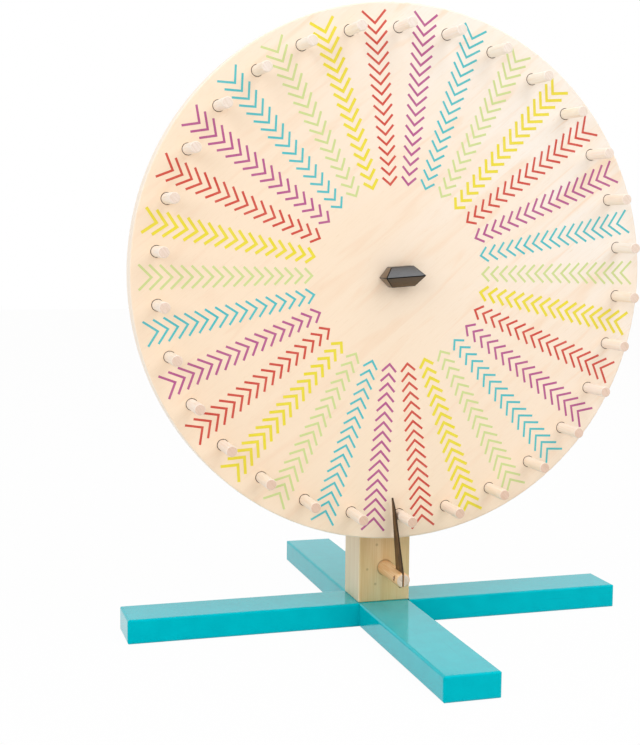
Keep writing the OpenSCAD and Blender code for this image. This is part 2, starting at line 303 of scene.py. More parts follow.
def rod_wood_material(name, side_hexes, end_hexes, shade_from, sunk_shade_hex,
                      stain=None, painted_low_shade=None):
    """Turned hardwood rod along Y: silky fibres on its side and open end grain on its end.

    Behind the depth along Y that it is given, it is painted dark: painted shade down in its hole.
    stain is a place, a size along each axis and a colour, where something has soaked in. The last
    argument paints shade towards the bottom: a height where there is none, one where it is full,
    and its tint, full on the end and faint on the side.
    Real fibres and pores are about 0.1 mm wide. That is too fine to show in the render, so they
    are drawn 0.4 to 0.9 mm wide."""
    material, tree = new_material(name)
    fibres = stretched_noise(tree, (0.7, 25, 0.7), detail=3.0)
    tone = stretched_noise(tree, (45, 20000, 45), detail=0.0)
    pores = stretched_noise(tree, (0.4, 1000, 0.9), (0, 0.5, 0))
    rings = stretched_noise(tree, (10, 1000, 1.2), (0, 0.9, 0), detail=1.0)
    side = add_node(
        tree, "ShaderNodeValToRGB", {"Fac": fibres},
        stops=[(0.32, side_hexes[0]), (0.52, side_hexes[1]), (0.74, side_hexes[2])],
    )
    side = overlaid(tree, side, tone, 0.35, 0.65, side_hexes[3], mode="MULTIPLY")
    end = add_node(
        tree, "ShaderNodeValToRGB", {"Fac": rings},
        stops=[(0.35, end_hexes[0]), (0.65, end_hexes[1])],
    )
    end = overlaid(tree, end, pores, 0.55, 0.7, end_hexes[2], 0.5)
    place = add_node(tree, "ShaderNodeTexCoord")
    axes = add_node(tree, "ShaderNodeSeparateXYZ", {0: place.outputs["Object"]})
    # painted shade: darker and browner towards the bottom, full on the end and faint on the side
    if painted_low_shade:
        shade_start_height, shade_full_height, painted_low_shade_hex = painted_low_shade
        height = axes.outputs["Z"]
        side = overlaid(tree, side, height, shade_start_height, shade_full_height, painted_low_shade_hex, 0.3, "MULTIPLY")
        end = overlaid(tree, end, height, shade_start_height, shade_full_height, painted_low_shade_hex, 1.0, "MULTIPLY")
    # painted shade: the rod is dark where it sinks into its hole
    side = overlaid(tree, side, axes.outputs["Y"], shade_from, shade_from + 0.3 * MM, sunk_shade_hex)
    if stain:
        spot, size, stain_and_shade_hex = stain
        mapped = add_node(
            tree, "ShaderNodeMapping",
            {"Vector": place.outputs["Object"], "Location": spot, "Scale": size},
            vector_type="TEXTURE",
        )
        reach = add_node(tree, "ShaderNodeVectorMath", {0: mapped}, operation="LENGTH")
        side = overlaid(tree, side, reach, 1.15, 0.8, stain_and_shade_hex)
    colour = add_node(
        tree, "ShaderNodeMix", {SHARE: facing(tree, "Y", 0.75, 0.95), FIRST: side, SECOND: end},
        data_type="RGBA",
    )
    finish_material(tree, colour, 0.55, fibres, 0.05 * MM, Specular_IOR_Level=0.35)
    return material


def pine_material(settings):
    """Planed pine: wide growth rings that run up the post, a silky face and pin knots.

    Real pine fibres are lines of about 0.2 mm. They are too fine to show in the render, so they
    are drawn 0.6 mm wide."""
    material, tree = new_material("planed pine")
    place = add_node(tree, "ShaderNodeTexCoord")
    # the log's heart lies outside the post, and its rings sway a little every 110 mm or so
    centred = add_node(tree, "ShaderNodeMapping", {
        "Vector": place.outputs["Object"], "Location": (-settings.heart_x, -settings.heart_y, 0.0),
    })
    bend = add_node(tree, "ShaderNodeTexNoise", {
        "Vector": place.outputs["Object"], "Scale": 9.0, "Detail": 1.0,
    })
    sway = add_node(
        tree, "ShaderNodeVectorMath", {0: bend.outputs["Color"], "Scale": 6 * MM},
        operation="SCALE",
    )
    swayed = add_node(tree, "ShaderNodeVectorMath", {0: centred, 1: sway}, operation="ADD")
    flat = add_node(
        tree, "ShaderNodeVectorMath", {0: swayed, 1: (1.0, 1.0, 0.02)}, operation="MULTIPLY"
    )
    reach = add_node(tree, "ShaderNodeVectorMath", {0: flat}, operation="LENGTH")
    turns = add_node(
        tree, "ShaderNodeMath", {0: reach, 1: 1.0 / settings.ring_width}, operation="MULTIPLY"
    )
    ring = add_node(tree, "ShaderNodeMath", {0: turns}, operation="FRACT")
    wood = add_node(tree, "ShaderNodeValToRGB", {"Fac": ring}, stops=[
        (0.0, settings.pine_pale_hex), (0.45, settings.pine_mid_hex),
        (0.86, settings.pine_late_hex), (1.0, settings.pine_pale_hex),
    ])
    fibres = stretched_noise(tree, (0.6, 0.6, 30), detail=3.0)
    wood = overlaid(tree, wood, fibres, 0.35, 0.85, settings.pine_fibre_hex, mode="MULTIPLY")
    clouds = stretched_noise(tree, (30, 30, 70), shift=(0.0, 0.0, 20 * MM), detail=1.0)
    wood = overlaid(tree, wood, clouds, 0.35, 0.7, settings.pine_cloud_hex, mode="MULTIPLY")
    # painted light: the side that faces left is paler and warmer, as though more light fell on it
    axes = add_node(tree, "ShaderNodeSeparateXYZ", {0: place.outputs["Normal"]})
    wood = overlaid(tree, wood, axes.outputs["X"], -0.4, -0.8, settings.pine_lit_left_hex, 0.55)
    # pin knots: small dark spots at listed places
    post_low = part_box("post")[0]
    for x, rise, share in PIN_KNOTS:
        spot = add_node(
            tree, "ShaderNodeVectorMath",
            {
                0: place.outputs["Object"],
                1: (middle("post").x + x, post_low.y, post_low.z + rise),
            },
            operation="DISTANCE",
        )
        radius = share * settings.knot_size
        wood = overlaid(tree, wood, spot, radius * 1.6, radius * 0.5, settings.knot_and_shade_hex, 0.42)
    # painted shade: a dark ring round the dowel, where it enters the post
    dowel_low, dowel_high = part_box("flapper_dowel")
    dowel = middle("flapper_dowel")
    reach = add_node(
        tree, "ShaderNodeVectorMath",
        {0: place.outputs["Object"], 1: (dowel.x, post_low.y, dowel.z)}, operation="DISTANCE",
    )
    radius = (dowel_high.x - dowel_low.x) / 2
    wood = overlaid(
        tree, wood, reach, radius + 1.1 * MM, radius + 0.4 * MM, settings.knot_and_shade_hex, 0.6
    )
    finish_material(tree, wood, 0.5, fibres, 0.06 * MM, Specular_IOR_Level=0.4)
    return material


def paint_material(name, settings, grain_size):
    """Glossy brushed paint over wood: a smooth wet-looking skin with faint grain below it.

    The skin is uneven over about 12 mm. grain_size is that of the brush marks and the sunk
    grain, 1.5 mm wide and 60 mm long as on real painted pine."""
    material, tree = new_material(name)
    grain = stretched_noise(tree, grain_size, detail=3.0)
    skin = stretched_noise(tree, (12, 12, 12), detail=1.0)
    colour = add_node(
        tree, "ShaderNodeValToRGB", {"Fac": skin},
        stops=[(0.3, settings.paint_hex), (0.7, settings.paint_light_hex)],
    )
    colour = overlaid(tree, colour, grain, 0.62, 0.85, settings.paint_deep_hex)
    relief = add_node(tree, "ShaderNodeMath", {0: grain, 1: skin}, operation="ADD")
    # the tint keeps head-on reflections in the paint's own colour, and grazing ones white
    finish_material(
        tree, colour, 0.10, relief, 0.03 * MM,
        IOR=1.5, Specular_IOR_Level=0.5, Specular_Tint=settings.gloss_hex,
    )
    return material


def metal_material(name, colour_hexes, grit, roughness):
    """Small metal parts: a plated or turned skin, mottled over 4 mm, with fine wear marks.

    Real wear marks are under 0.1 mm wide. That is too fine to show in the render, so grit,
    their size along each axis, is 0.3 to 0.5 mm across them."""
    material, tree = new_material(name)
    mottle = stretched_noise(tree, (4, 4, 4), detail=3.0)
    scratch = stretched_noise(tree, grit)
    colour = add_node(
        tree, "ShaderNodeValToRGB", {"Fac": mottle},
        stops=[(0.35, colour_hexes[0]), (0.65, colour_hexes[1])],
    )
    rough = add_node(tree, "ShaderNodeMapRange", {
        "Value": scratch, "To Min": roughness - 0.08, "To Max": roughness + 0.12,
    })
    finish_material(tree, colour, rough, scratch, 0.02 * MM, Metallic=1.0)
    return material


def knob_material(settings):
    """Polished black acrylic: deep and glassy, with fine polishing marks. It mirrors pale light on
    its upper slope. On the faces that look down or to the left, a warm reflection of the wood is
    painted into the colour and into the tint of the gloss.

    Its faint clouds are about 6 mm across. Real polishing marks are hair-fine. They are too
    fine to show in the render, so they are drawn 0.3 to 0.4 mm wide."""
    material, tree = new_material("polished black acrylic")
    marks = stretched_noise(tree, (12, 0.3, 0.4), (0.0, -settings.turn, 0.0))
    clouds = stretched_noise(tree, (6, 6, 6))
    colour = add_node(
        tree, "ShaderNodeValToRGB", {"Fac": clouds},
        stops=[(0.3, settings.black_hex), (0.7, settings.black_warm_hex)],
    )
    place = add_node(tree, "ShaderNodeTexCoord")
    axes = add_node(tree, "ShaderNodeSeparateXYZ", {0: place.outputs["Normal"]})
    # painted reflection: the faces that look down or to the left get a warm wood colour and a
    # wood-tinted gloss
    below = add_node(tree, "ShaderNodeMapRange", {
        "Value": axes.outputs["Z"], "From Min": 0.2, "From Max": -0.5,
    })
    left = add_node(tree, "ShaderNodeMapRange", {
        "Value": axes.outputs["X"], "From Min": -0.4, "From Max": -0.7,
    })
    painted_wood_reflection = add_node(tree, "ShaderNodeMath", {0: below, 1: left}, operation="MAXIMUM")
    # the buffed edges keep hardly any gloss and read as thin black lines
    edge = add_node(tree, "ShaderNodeAttribute", attribute_name="broken_edge").outputs["Fac"]
    for share, tint in (
        (below, settings.painted_reflection_down_hex), (left, settings.painted_reflection_left_hex), (edge, settings.edge_hex),
    ):
        colour = add_node(
            tree, "ShaderNodeMix", {SHARE: share, FIRST: colour, SECOND: tint}, data_type="RGBA"
        )
    gloss = "#ffffff"
    for share, tint in ((painted_wood_reflection, settings.painted_wood_gloss_hex), (edge, settings.edge_hex)):
        gloss = add_node(
            tree, "ShaderNodeMix", {SHARE: share, FIRST: gloss, SECOND: tint}, data_type="RGBA"
        )
    rough = add_node(tree, "ShaderNodeMapRange", {
        "Value": marks, "To Min": 0.24, "To Max": 0.34,
    })
    finish_material(
        tree, colour, rough, marks, 0.004 * MM,
        IOR=1.8, Specular_IOR_Level=0.5, Specular_Tint=gloss,
    )
    return material


def leather_material(settings):
    """Stiff strap leather, dyed dark brown: pebbled faces and burnished, layered edges.

    The pebbles have their real size of 0.625 mm. Real creases are 0.1 to 0.3 mm wide. That is
    too fine to show in the render, so the streaks are drawn 0.7 to 1.1 mm wide."""
    material, tree = new_material("dark brown strap leather")
    place = add_node(tree, "ShaderNodeTexCoord")
    pebble = add_node(tree, "ShaderNodeTexVoronoi", {
        "Vector": place.outputs["Object"], "Scale": 1 / (0.625 * MM), "Randomness": 0.9,
    })
    streaks = stretched_noise(tree, (0.7, 1.1, 40))
    clouds = stretched_noise(tree, (6, 6, 12))
    face = add_node(tree, "ShaderNodeValToRGB", {"Fac": streaks}, stops=[
        (0.32, settings.leather_deep_hex), (0.55, settings.leather_hex),
        (0.72, settings.leather_light_hex),
    ])
    face = overlaid(tree, face, clouds, 0.3, 0.8, settings.leather_cloud_hex, mode="MULTIPLY")
    colour = add_node(
        tree, "ShaderNodeMix",
        {SHARE: facing(tree, "X", 0.5, 0.9), FIRST: settings.leather_edge_hex, SECOND: face},
        data_type="RGBA",
    )
    relief = add_node(
        tree, "ShaderNodeMath", {0: pebble.outputs["Distance"], 1: streaks}, operation="ADD"
    )
    finish_material(tree, colour, 0.5, relief, 0.05 * MM, Specular_IOR_Level=0.22)
    return material


def repaint(nodes, material):
    """Gives CAD nodes a finished material."""
    for name in nodes:
        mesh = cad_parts[name].data
        mesh.materials.clear()
        mesh.materials.append(material)


def new_piece(name, mesh, material, smooth_angle=None):
    """A finished object at the origin with one material."""
    mesh.materials.clear()
    mesh.materials.append(material)
    if smooth_angle is not None:
        for face in mesh.polygons:
            face.use_smooth = True
        mesh.set_sharp_from_angle(angle=smooth_angle)
    piece = bpy.data.objects.new(name, mesh)
    bpy.context.scene.collection.objects.link(piece)
    return piece


def hex_radius(angle, across_flats):
    """Distance from a hexagon's middle to its side in one direction."""
    wedge = math.radians(60)
    return across_flats / 2 / math.cos(angle % wedge - wedge / 2)


def axle_ring(builder, y, steps, reach_at):
    """A ring of points about the axle's line. reach_at gives its radius at an angle."""
    ring = []
    for step in range(steps):
        angle = math.tau * step / steps
        reach = reach_at(angle)
        ring.append(builder.verts.new((
            reach * math.sin(angle), y, HUB.z + reach * math.cos(angle),
        )))
    return ring


def join_rings(builder, rings):
    """Lays faces between each ring of points and the next."""
    for near, far in zip(rings, rings[1:]):
        for here in range(len(near)):
            after = (here + 1) % len(near)
            builder.faces.new((near[here], near[after], far[after], far[here]))


def end_mesh(builder, name):
    """Turns all faces outwards and hands them over as a mesh."""
    bmesh.ops.recalc_face_normals(builder, faces=builder.faces)
    mesh = bpy.data.meshes.new(name)
    builder.to_mesh(mesh)
    builder.free()
    return mesh


def turned_mesh(name, rows, pierced):
    """A mesh turned about the axle's line. Each row is a place on Y, a radius and a hexagon's
    width across its flats, or None where the row is round. A pierced piece's last row meets
    its first, and any other is closed by a face at each end."""
    builder = bmesh.new()
    rings = []
    for y, radius, flats in rows:
        rings.append(axle_ring(
            builder, y, ROUND_STEPS,
            lambda angle: radius if flats is None else min(radius, hex_radius(angle, flats)),
        ))
    join_rings(builder, rings + rings[:1] if pierced else rings)
    if not pierced:
        builder.faces.new(rings[0])
        builder.faces.new(rings[-1])
    return end_mesh(builder, name)


def washer_mesh(node, bore):
    """A pressed washer in a CAD washer's box, with rounded edges."""
    low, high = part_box(node)
    outer = (high.x - low.x) / 2
    soft = (high.y - low.y) * 0.22
    # halfway round, an edge lies this far inside its corner
    part = soft * 0.3
    rows = [
        (low.y, bore + soft, None), (low.y, outer - soft, None),
        (low.y + part, outer - part, None), (low.y + soft, outer, None),
        (high.y - soft, outer, None), (high.y - part, outer - part, None),
        (high.y, outer - soft, None), (high.y, bore + soft, None),
        (high.y - soft, bore, None), (low.y + soft, bore, None),
    ]
    return turned_mesh(node, rows, pierced=True)


def nut_mesh(node, bore):
    """A hexagon nut in a CAD nut's box, chamfered on both faces and in its bore."""
    low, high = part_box(node)
    flats = high.z - low.z
    chamfer = flats * HEX_CHAMFER
    bore_chamfer = chamfer * 0.6
    # the round land of each face ends just inside the flats, and past_corners clears the corners
    land = flats / 2 * 0.98
    past_corners = flats * 0.6
    rows = [
        (low.y, bore + bore_chamfer, None), (low.y, land, None),
        (low.y + chamfer, past_corners, flats), (high.y - chamfer, past_corners, flats),
        (high.y, land, None), (high.y, bore + bore_chamfer, None),
        (high.y - bore_chamfer, bore, None), (low.y + bore_chamfer, bore, None),
    ]
    return turned_mesh(node, rows, pierced=True)


def bolt_mesh(settings):
    """The axle bolt: a chamfered hexagon head, a plain shank and a cut thread at its tip."""
    low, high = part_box("axle_bolt")
    head_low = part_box("back_washer")[1].y
    flats = high.z - low.z
    land = flats / 2 * 0.95
    radius = settings.bolt_diameter / 2
    root = radius - settings.thread_pitch * THREAD_DEPTH
    thread_start = low.y + settings.thread_length
    turns = settings.thread_length / settings.thread_pitch
    thread_rings = int(turns * RINGS_PER_TURN)

    def thread_reach(angle, along):
        """Radius of the thread, which runs in and out over its first and last turn."""
        phase = (along * turns - angle / math.tau) % 1.0
        crest = 1.0 - abs(2.0 * phase - 1.0)
        run_in = min(1.0, along * turns, (1.0 - along) * turns)
        return radius - (radius - root) * crest * run_in

    rows = [
        (high.y, lambda angle: land),
        (high.y - flats * HEX_CHAMFER, lambda angle: hex_radius(angle, flats)),
        (head_low, lambda angle: hex_radius(angle, flats)),
        (head_low - HAIR, lambda angle: radius),
        (thread_start, lambda angle: radius),
    ]
    for order in range(thread_rings + 1):
        along = order / thread_rings
        y = thread_start + (low.y - thread_start) * along
        rows.append((y - 2 * HAIR, lambda angle, along=along: thread_reach(angle, along)))
    rows.append((low.y, lambda angle: root))
    builder = bmesh.new()
    rings = [axle_ring(builder, y, BOLT_STEPS, reach_at) for y, reach_at in rows]
    join_rings(builder, rings)
    builder.faces.new(rings[0])
    builder.faces.new(rings[-1])
    return end_mesh(builder, "axle_bolt_threaded")


def knob_mesh(settings):
    """The knob: a long hexagon in outline with a ridged front, its edges slightly broken."""
    low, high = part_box("knob")
    insert_low, insert_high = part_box("knob_insert")
    base, ridge = high.y, low.y
    tip, flat, top = settings.length / 2, settings.flat_length / 2, settings.height / 2
    eave = base - settings.wall_depth
    outline = [(tip, 0.0), (flat, top), (-flat, top), (-tip, 0.0), (-flat, -top), (flat, -top)]
    cos_turn, sin_turn = math.cos(settings.turn), math.sin(settings.turn)
    level = HUB.z - settings.drop
    builder = bmesh.new()
    backs, fronts = [], []
    for x, z in outline:
        place_x, place_z = x * cos_turn - z * sin_turn, level + x * sin_turn + z * cos_turn
        backs.append(builder.verts.new((place_x, base, place_z)))
        fronts.append(builder.verts.new((place_x, ridge if z == 0.0 else eave, place_z)))
    builder.faces.new(backs)
    builder.faces.new((fronts[0], fronts[1], fronts[2], fronts[3]))
    builder.faces.new((fronts[3], fronts[4], fronts[5], fronts[0]))
    join_rings(builder, [backs, fronts])
    bmesh.ops.recalc_face_normals(builder, faces=builder.faces)
    edge_layer = builder.faces.layers.float.new("broken_edge")
    rounded = bmesh.ops.bevel(
        builder, geom=list(builder.edges), offset=settings.edge_break, segments=3,
        affect="EDGES", profile=0.5, clamp_overlap=True,
    )
    for face in rounded["faces"]:
        face[edge_layer] = 1.0
    # the blind hole that holds the threaded insert; its cutter starts outside the knob
    hole_radius = (insert_high.x - insert_low.x) / 2 + settings.insert_gap
    rows = [(base + 2 * MM, hole_radius, None), (insert_low.y, hole_radius, None)]
    hole = turned_mesh("knob_hole", rows, pierced=False)
    cutter = bpy.data.objects.new("knob_hole", hole)
    body = bpy.data.objects.new("knob_body", end_mesh(builder, "knob_polished"))
    for item in (cutter, body):
        bpy.context.scene.collection.objects.link(item)
    cut = body.modifiers.new("hole", "BOOLEAN")
    cut.operation, cut.solver, cut.object = "DIFFERENCE", "EXACT", cutter
    depsgraph = bpy.context.evaluated_depsgraph_get()
    drilled = bpy.data.meshes.new_from_object(body.evaluated_get(depsgraph))
    for item in (cutter, body):
        bpy.data.objects.remove(item)
    return drilled


def strip_mesh(settings):
    """The flapper's strip: one tapered piece from its foot in the dowel to its tip."""
    foot_low, foot_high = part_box("flapper_foot")
    rear, front = foot_high.y, foot_low.y
    centre_x = (foot_low.x + foot_high.x) / 2
    half = (foot_high.x - foot_low.x) / 2
    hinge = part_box("flapper_blade")[0].z + half
    rear_bottom = foot_low.z + settings.foot_slope
    length = settings.blade_length
    shoulder = length - settings.nose_length
    soft = settings.edge_soft
    profile = (
        (foot_low.z - hinge, rear - front - settings.foot_set_back), (0.0, rear - front),
        (shoulder, settings.shoulder_width), (length, settings.tip_width),
    )

    def width_at(height):
        """Depth of the strip, rear to front, at a height above the hinge."""
        for (low, wide), (high, narrow) in zip(profile, profile[1:]):
            if height <= high:
                return wide + (narrow - wide) * (height - low) / (high - low)
        return profile[-1][1]

    def leaned(side_shift, depth_place, height):
        """A point of the upright strip, leaned over above the hinge."""
        if height <= 0.0:
            return (centre_x + side_shift, depth_place, hinge + height)
        lean = settings.lean * min(1.0, height / settings.bend_length)
        return (
            centre_x + side_shift * math.cos(lean) - height * math.sin(lean), depth_place,
            hinge + side_shift * math.sin(lean) + height * math.cos(lean),
        )

    builder = bmesh.new()
    rows, columns = settings.strip_rows, 8
    loops = []
    for row in range(rows + 1):
        share = row / rows
        ring = []
        for side, order in ((-1, range(columns + 1)), (1, range(columns, -1, -1))):
            for column in order:
                depth = column / columns
                bottom = foot_low.z + (rear_bottom - foot_low.z) * (1 - depth) - hinge
                height = bottom + (length - bottom) * share
                width = width_at(height)
                place = rear - width * depth
                # the faces are flat; only the outermost strips of them round off
                if column == 1:
                    place = rear - soft
                elif column == columns - 1:
                    place = rear - width + soft
                thick = half - soft if column in (0, columns) else half
                ring.append(builder.verts.new(leaned(side * thick, place, height)))
        loops.append(ring)
    join_rings(builder, loops)
    for ring in (loops[0], loops[-1]):
        for here in range(columns):
            across = len(ring) - 1 - here
            builder.faces.new((ring[here], ring[here + 1], ring[across - 1], ring[across]))
    return end_mesh(builder, "flapper_strip")


CHEVRON_INPUTS = (
    ("Columns", "NodeSocketInt", "columns"),
    ("Chevrons", "NodeSocketInt", "chevrons"),
    ("First Angle", "NodeSocketFloat", None),
    ("Column Step", "NodeSocketFloat", None),
    ("Outer Apex", "NodeSocketFloat", "outer_apex"),
    ("Inner Apex", "NodeSocketFloat", "inner_apex"),
    ("Outer Half Width", "NodeSocketFloat", "outer_half_width"),
    ("Inner Half Width", "NodeSocketFloat", "inner_half_width"),
    ("Stroke", "NodeSocketFloat", None),
    ("Ink Depth", "NodeSocketFloat", "ink_depth"),
    ("Hub", "NodeSocketVector", None),
    ("Ink", "NodeSocketMaterial", None),
)
# Sums for each chevron: a name, an operation and its terms, each a name or a number. index
# counts the chevrons, apex is a chevron's distance from the hub, and half is half its width.
POINT_SUMS = (
    ("nudged", "ADD", "index", 0.25),
    ("fraction", "DIVIDE", "nudged", "Chevrons"),
    ("column", "FLOOR", "fraction"),
    ("before", "MULTIPLY", "column", "Chevrons"),
    ("place", "SUBTRACT", "index", "before"),
    ("steps", "SUBTRACT", "Chevrons", 1.0),
    ("share", "DIVIDE", "place", "steps"),
    ("apex span", "SUBTRACT", "Inner Apex", "Outer Apex"),
    ("apex", "MULTIPLY_ADD", "share", "apex span", "Outer Apex"),
    ("half span", "SUBTRACT", "Inner Half Width", "Outer Half Width"),
    ("half", "MULTIPLY_ADD", "share", "half span", "Outer Half Width"),
    ("angle", "MULTIPLY_ADD", "column", "Column Step", "First Angle"),
)
# Sums for each corner of a chevron: side is -1, 0 or 1 across it, and lane is -1 or 1 for the
# inner or outer edge of its line. across and away are the corner's place, away from the hub.
CORNER_SUMS = (
    ("outer", "ABSOLUTE", "side"),
    ("inner", "SUBTRACT", 1.0, "outer"),
    ("end offset", "MULTIPLY", "Stroke", 0.5 / math.sqrt(2)),
    ("mitre offset", "MULTIPLY", "Stroke", 0.5 * math.sqrt(2)),
    ("end shift", "MULTIPLY", "lane", "end offset"),
    ("mitre shift", "MULTIPLY", "lane", "mitre offset"),
    ("end across", "SUBTRACT", "half", "end shift"),
    ("across", "MULTIPLY", "side", "end across"),
    ("end away", "ADD", "half", "end shift"),
    ("at end", "MULTIPLY", "outer", "end away"),
    ("at apex", "MULTIPLY", "inner", "mitre shift"),
    ("from apex", "ADD", "at end", "at apex"),
    ("away", "ADD", "apex", "from apex"),
    ("forward", "MULTIPLY", "Ink Depth", -1.0),
)


def chevron_tree():
    """Geometry nodes for the printed columns: V strokes in a row towards the hub.

    Each point is one chevron. A small grid of two quads stands on it, and its six corners
    are then moved to the corners of two mitred arms at right angles to each other."""
    tree = bpy.data.node_groups.new("printed chevrons", "GeometryNodeTree")
    for label, kind, _ in CHEVRON_INPUTS:
        tree.interface.new_socket(name=label, in_out="INPUT", socket_type=kind)
    tree.interface.new_socket(name="Geometry", in_out="OUTPUT", socket_type="NodeSocketGeometry")
    known = {socket.name: socket for socket in add_node(tree, "NodeGroupInput").outputs}
    known["index"] = add_node(tree, "GeometryNodeInputIndex")
    for label, operation, *terms in POINT_SUMS:
        inputs = {order: known.get(term, term) for order, term in enumerate(terms)}
        known[label] = add_node(tree, "ShaderNodeMath", inputs, operation=operation)
    count = add_node(
        tree, "ShaderNodeMath", {0: known["Columns"], 1: known["Chevrons"]}, operation="MULTIPLY"
    )
    points = add_node(tree, "GeometryNodePoints", {"Count": count})
    for label in ("apex", "half", "angle"):
        points = add_node(
            tree, "GeometryNodeStoreNamedAttribute",
            {"Geometry": points, "Name": label, "Value": known[label]},
            data_type="FLOAT", domain="POINT",
        )
    grid = add_node(tree, "GeometryNodeMeshGrid", {
        "Size X": 2.0, "Size Y": 2.0, "Vertices X": 3, "Vertices Y": 2,
    })
    placed = add_node(tree, "GeometryNodeInstanceOnPoints", {"Points": points, "Instance": grid})
    real = add_node(tree, "GeometryNodeRealizeInstances", {"Geometry": placed})
    for label in ("apex", "half", "angle"):
        known[label] = add_node(
            tree, "GeometryNodeInputNamedAttribute", {"Name": label}, data_type="FLOAT"
        )
    corner = add_node(
        tree, "ShaderNodeSeparateXYZ", {0: add_node(tree, "GeometryNodeInputPosition")}
    )
    known["side"], known["lane"] = corner.outputs["X"], corner.outputs["Y"]
    for label, operation, *terms in CORNER_SUMS:
        inputs = {order: known.get(term, term) for order, term in enumerate(terms)}
        known[label] = add_node(tree, "ShaderNodeMath", inputs, operation=operation)
    upright = add_node(tree, "ShaderNodeCombineXYZ", {
        "X": known["across"], "Y": 0.0, "Z": known["away"],
    })
    turned = add_node(tree, "ShaderNodeVectorRotate", {
        "Vector": upright, "Axis": (0.0, 1.0, 0.0), "Angle": known["angle"],
    }, rotation_type="AXIS_ANGLE")
    seated = add_node(
        tree, "ShaderNodeVectorMath", {0: turned, 1: known["Hub"]}, operation="ADD"
    )
    laid = add_node(tree, "GeometryNodeSetPosition", {"Geometry": real, "Position": seated})
    forward = add_node(tree, "ShaderNodeCombineXYZ", {"Y": known["forward"]})
    raised = add_node(tree, "GeometryNodeExtrudeMesh", {
        "Mesh": laid, "Offset": forward, "Offset Scale": 1.0, "Individual": False,
    }, mode="FACES")
    back = add_node(tree, "GeometryNodeFlipFaces", {"Mesh": laid})
    both = add_node(tree, "GeometryNodeJoinGeometry", {0: back})
    tree.links.new(raised.outputs["Mesh"], both.inputs[0])
    merged = add_node(tree, "GeometryNodeMergeByDistance", {
        "Geometry": both, "Distance": 0.001 * MM,
    })
    final = add_node(tree, "GeometryNodeRealizeInstances", {"Geometry": merged})
    inked = add_node(tree, "GeometryNodeSetMaterial", {
        "Geometry": final, "Material": known["Ink"],
    })
    add_node(tree, "NodeGroupOutput", {"Geometry": inked})
    return tree


class PrizeWheelBoard(bpy.types.PropertyGroup):
    """Birch board and pegs."""
    birch_pale_hex: bpy.props.StringProperty(
        name="Pale birch", description="Colour of the board's pale wood", default="#fcf0e2")
    birch_warm_hex: bpy.props.StringProperty(
        name="Warm birch", description="Colour of the board's warmer wood", default="#fce3c6")
    birch_deep_hex: bpy.props.StringProperty(
        name="Deep birch", description="Colour of the board's fine fibres", default="#edcda8")
    birch_figure_hex: bpy.props.StringProperty(
        name="Birch figure", description="Colour of the board's broad soft streaks",
        default="#f9dabb")
    pale_from: bpy.props.FloatProperty(
        name="Pale from", description="Distance up the grain from the hub to fully pale wood",
        default=140 * MM, unit="LENGTH")
    warm_from: bpy.props.FloatProperty(
        name="Warm from", description="Distance down the grain from the hub to fully warm wood",
        default=120 * MM, unit="LENGTH")
    ply_long_hex: bpy.props.StringProperty(
        name="Long-grain ply", description="Colour of the rim's pale plies", default="#fff1df")
    ply_end_hex: bpy.props.StringProperty(
        name="End-grain ply", description="Colour of the rim's darker plies", default="#f3dfc5")
    # painted shade in the holes round the pegs
    hole_wall_shade_hex: bpy.props.StringProperty(
        name="Hole walls", description="Colour of the drilled holes' walls", default="#7a4822")
    ply_thickness: bpy.props.FloatProperty(
        name="Ply thickness", description="Thickness of one ply", default=1.45 * MM,
        min=0.5 * MM, max=4 * MM, unit="LENGTH")
    grain_angle: bpy.props.FloatProperty(
        name="Grain angle", description="Rise of the grain from left to right",
        default=math.radians(40), subtype="ANGLE")
    peg_hexes: bpy.props.StringProperty(
        name="Peg wood", description="Three colours of a peg's side and its darker tint",
        default="#fdf7ee #fcf2e5 #f8e8d3 #fefaf4")
    peg_end_hexes: bpy.props.StringProperty(
        name="Peg end grain", description="Three colours of a peg's end",
        default="#f9ebdf #f0e0ce #ddc4aa")
    # painted shade on the lowest pegs
    peg_painted_low_shade_hex: bpy.props.StringProperty(
        name="Painted shade on low pegs", description="Tint of the lowest pegs, which fades upwards",
        default="#eed6c8")


class PrizeWheelPrint(bpy.types.PropertyGroup):
    """Printed chevrons."""
    columns: bpy.props.IntProperty(
        name="Columns a colour", description="Columns of chevrons in each colour",
        default=6, min=1, max=12)
    chevrons: bpy.props.IntProperty(
        name="Chevrons", description="Chevrons in a column", default=17, min=2, max=40)
    outer_apex: bpy.props.FloatProperty(
        name="Outer apex", description="Radius of a column's outermost apex",
        default=184.6 * MM, unit="LENGTH")
    inner_apex: bpy.props.FloatProperty(
        name="Inner apex", description="Radius of a column's innermost apex",
        default=67.2 * MM, unit="LENGTH")
    outer_half_width: bpy.props.FloatProperty(
        name="Outer half width", description="Half the width of the outermost chevron",
        default=9.1 * MM, unit="LENGTH")
    inner_half_width: bpy.props.FloatProperty(
        name="Inner half width", description="Half the width of the innermost chevron",
        default=5.6 * MM, unit="LENGTH")
    strokes: bpy.props.FloatVectorProperty(
        name="Strokes", description="Widths of the lines in the five inks", size=5,
        default=(1.7 * MM, 1.7 * MM, 1.6 * MM, 1.7 * MM, 2.2 * MM), unit="LENGTH")
    ink_depth: bpy.props.FloatProperty(
        name="Ink depth", description="Thickness of the ink", default=0.05 * MM,
        unit="LENGTH")
    first_angle: bpy.props.FloatProperty(
        name="First column", description="Angle of the first red column, clockwise from the top",
        default=math.radians(-6.69), subtype="ANGLE")
    red_hex: bpy.props.StringProperty(
        name="Red", description="Colour of the red ink", default="#d2493a")
    purple_hex: bpy.props.StringProperty(
        name="Purple", description="Colour of the purple ink", default="#b8578d")
    cyan_hex: bpy.props.StringProperty(
        name="Cyan", description="Colour of the cyan ink", default="#4bbfc4")
    light_green_hex: bpy.props.StringProperty(
        name="Light green", description="Colour of the light green ink", default="#d2dc92")
    yellow_hex: bpy.props.StringProperty(
        name="Yellow", description="Colour of the yellow ink", default="#eedb33")


